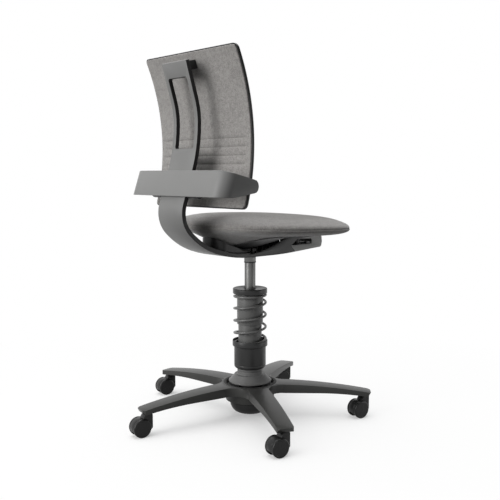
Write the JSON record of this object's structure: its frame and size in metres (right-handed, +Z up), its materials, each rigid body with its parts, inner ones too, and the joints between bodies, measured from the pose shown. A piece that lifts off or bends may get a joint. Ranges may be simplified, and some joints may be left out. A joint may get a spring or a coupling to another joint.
{
  "type": "ergonomic office chair",
  "caption": "Active-sitting office chair: tilting spring column on a castored star base, round padded seat, and a curved padded back on a bent flat-bar spine.",
  "frame": {"origin": "the point on the floor under the column axis", "axes": "+Z up along the column; the sitter faces -Y and +Y is the back; X runs across, with +X on the sitter's left"},
  "size_m": [0.662, 0.6853, 1.004],
  "materials": {
    "graphite_cast": "fine satin powder coat",
    "silver_strip": "satin metallic coat with black edges",
    "silver_bar": "satin metallic paint on a moulding",
    "grey_tube": "satin",
    "grey_skirt": "satin moulding",
    "black_moulding": "low sheen",
    "black_nylon": "fine grained moulding",
    "wheel_nylon": "semi-matte moulding",
    "spring_wire": "powder coated wire",
    "bright_steel": "machined",
    "dark_steel": "blackened",
    "bright_alloy": "turned",
    "pale_bush": "smooth bearing plastic",
    "black_rubber": "matte",
    "melange_fabric": "woven warm grey melange",
    "black_edging": "smooth edging strip"
  },
  "bodies": {
    "base": {"star_base": "graphite_cast", "hub_ring": "black_rubber", "tilt_buffer": "black_rubber", "dome_cover": "black_nylon", "dome_screws": "dark_steel", "castor_stems": "bright_steel"},
    "gimbal": {"gimbal_ring": "bright_steel"},
    "column": {"column_foot": "bright_steel", "lower_tube": "grey_tube", "column_skirt": "grey_skirt", "spring_cup": "black_moulding", "coil_spring": "spring_wire"},
    "spring_head": {"upper_sleeve": "grey_tube", "spring_cap": "black_moulding", "guide_bush": "pale_bush", "gas_cylinder": "dark_steel"},
    "lift": {"lift_tube": "bright_steel", "thrust_washer": "pale_bush"},
    "release": {"release_pin": "bright_steel"},
    "seat": {"seat_boss": "dark_steel", "seat_frame": "silver_strip", "seat_spacers": "bright_alloy", "seat_pan": "black_nylon", "seat_cushion": "melange_fabric", "seat_screws": "dark_steel", "lever_bracket": "dark_steel", "pivot_shaft": "bright_steel"},
    "lever": {"height_lever": "black_nylon"},
    "backrest": {"rear_bar": "silver_bar", "pivot_block": "black_nylon", "torsion_sleeves": "black_rubber", "block_screws": "bright_steel", "spine": "silver_strip", "top_block": "black_nylon", "back_board": "black_nylon", "back_cushion": "melange_fabric", "rear_pad": "melange_fabric", "edge_trim": "black_edging", "wing_pins": "black_nylon"},
    "castor_1": {"castor_yoke_1": "black_nylon", "castor_axle_1": "bright_steel"},
    "castor_1_left_wheel": {"wheel_left_1": "wheel_nylon"},
    "castor_1_right_wheel": {"wheel_right_1": "wheel_nylon"},
    "castor_2": {"castor_yoke_2": "black_nylon", "castor_axle_2": "bright_steel"},
    "castor_2_left_wheel": {"wheel_left_2": "wheel_nylon"},
    "castor_2_right_wheel": {"wheel_right_2": "wheel_nylon"},
    "castor_3": {"castor_yoke_3": "black_nylon", "castor_axle_3": "bright_steel"},
    "castor_3_left_wheel": {"wheel_left_3": "wheel_nylon"},
    "castor_3_right_wheel": {"wheel_right_3": "wheel_nylon"},
    "castor_4": {"castor_yoke_4": "black_nylon", "castor_axle_4": "bright_steel"},
    "castor_4_left_wheel": {"wheel_left_4": "wheel_nylon"},
    "castor_4_right_wheel": {"wheel_right_4": "wheel_nylon"},
    "castor_5": {"castor_yoke_5": "black_nylon", "castor_axle_5": "bright_steel"},
    "castor_5_left_wheel": {"wheel_left_5": "wheel_nylon"},
    "castor_5_right_wheel": {"wheel_right_5": "wheel_nylon"}
  },
  "joints": [
    {"name": "tilt_side", "type": "hinge", "parent": "base", "child": "gimbal", "pos_m": [0, 0, 0.06], "axis": [0, 1, 0], "range_deg": [-6, 6], "stiffness_Nm_per_rad": 900},
    {"name": "tilt_fore", "type": "hinge", "parent": "gimbal", "child": "column", "pos_m": [0, 0, 0.06], "axis": [1, 0, 0], "range_deg": [-6, 6], "stiffness_Nm_per_rad": 900},
    {"name": "spring_bounce", "type": "slide", "parent": "column", "child": "spring_head", "axis": [0, 0, 1], "range_m": [-0.05, 0], "stiffness_N_per_m": 12000, "springref_m": 0.03, "deforming": ["coil_spring"]},
    {"name": "height_adjust", "type": "slide", "parent": "spring_head", "child": "lift", "axis": [0, 0, 1], "range_m": [-0.07, 0.05]},
    {"name": "release_stroke", "type": "slide", "parent": "lift", "child": "release", "axis": [0, 0, 1], "range_m": [-0.002, 0], "stiffness_N_per_m": 200, "springref_m": 0.003},
    {"name": "seat_swivel", "type": "hinge", "parent": "lift", "child": "seat", "pos_m": [0, 0, 0.455], "axis": [0, 0, 1], "continuous": true},
    {"name": "height_lever_pull", "type": "hinge", "parent": "seat", "child": "lever", "pos_m": [0, -0.045, 0.486], "axis": [-1, 0, 0], "range_deg": [0, 2.5], "stiffness_Nm_per_rad": 4, "springref_deg": -5.73},
    {"name": "back_tilt", "type": "hinge", "parent": "seat", "child": "backrest", "pos_m": [0, 0.25917, 0.6439], "axis": [-1, 0, 0], "range_deg": [0, 12], "stiffness_Nm_per_rad": 60, "springref_deg": -17.19},
    {"name": "castor_1_swivel", "type": "hinge", "parent": "base", "child": "castor_1", "pos_m": [0.05493, 0.32134, 0.05], "axis": [0, 0, 1], "continuous": true},
    {"name": "castor_1_left_roll", "type": "hinge", "parent": "castor_1", "child": "castor_1_left_wheel", "pos_m": [0.0583, 0.34105, 0.025], "axis": [-0.9857, 0.1685, 0], "continuous": true},
    {"name": "castor_1_right_roll", "type": "hinge", "parent": "castor_1", "child": "castor_1_right_wheel", "pos_m": [0.0583, 0.34105, 0.025], "axis": [-0.9857, 0.1685, 0], "continuous": true},
    {"name": "castor_2_swivel", "type": "hinge", "parent": "base", "child": "castor_2", "pos_m": [-0.28864, 0.15154, 0.05], "axis": [0, 0, 1], "continuous": true},
    {"name": "castor_2_left_roll", "type": "hinge", "parent": "castor_2", "child": "castor_2_left_wheel", "pos_m": [-0.28527, 0.17125, 0.025], "axis": [-0.9857, 0.1685, 0], "continuous": true},
    {"name": "castor_2_right_roll", "type": "hinge", "parent": "castor_2", "child": "castor_2_right_wheel", "pos_m": [-0.28527, 0.17125, 0.025], "axis": [-0.9857, 0.1685, 0], "continuous": true},
    {"name": "castor_3_swivel", "type": "hinge", "parent": "base", "child": "castor_3", "pos_m": [-0.23332, -0.22768, 0.05], "axis": [0, 0, 1], "continuous": true},
    {"name": "castor_3_left_roll", "type": "hinge", "parent": "castor_3", "child": "castor_3_left_wheel", "pos_m": [-0.22995, -0.20797, 0.025], "axis": [-0.9857, 0.1685, 0], "continuous": true},
    {"name": "castor_3_right_roll", "type": "hinge", "parent": "castor_3", "child": "castor_3_right_wheel", "pos_m": [-0.22995, -0.20797, 0.025], "axis": [-0.9857, 0.1685, 0], "continuous": true},
    {"name": "castor_4_swivel", "type": "hinge", "parent": "base", "child": "castor_4", "pos_m": [0.14444, -0.29225, 0.05], "axis": [0, 0, 1], "continuous": true},
    {"name": "castor_4_left_roll", "type": "hinge", "parent": "castor_4", "child": "castor_4_left_wheel", "pos_m": [0.14781, -0.27254, 0.025], "axis": [-0.9857, 0.1685, 0], "continuous": true},
    {"name": "castor_4_right_roll", "type": "hinge", "parent": "castor_4", "child": "castor_4_right_wheel", "pos_m": [0.14781, -0.27254, 0.025], "axis": [-0.9857, 0.1685, 0], "continuous": true},
    {"name": "castor_5_swivel", "type": "hinge", "parent": "base", "child": "castor_5", "pos_m": [0.32259, 0.04706, 0.05], "axis": [0, 0, 1], "continuous": true},
    {"name": "castor_5_left_roll", "type": "hinge", "parent": "castor_5", "child": "castor_5_left_wheel", "pos_m": [0.32595, 0.06677, 0.025], "axis": [-0.9857, 0.1685, 0], "continuous": true},
    {"name": "castor_5_right_roll", "type": "hinge", "parent": "castor_5", "child": "castor_5_right_wheel", "pos_m": [0.32595, 0.06677, 0.025], "axis": [-0.9857, 0.1685, 0], "continuous": true}
  ],
  "couplings": [
    {"joint": "release_stroke", "follows": "height_lever_pull", "m_per_rad": -0.045}
  ]
}
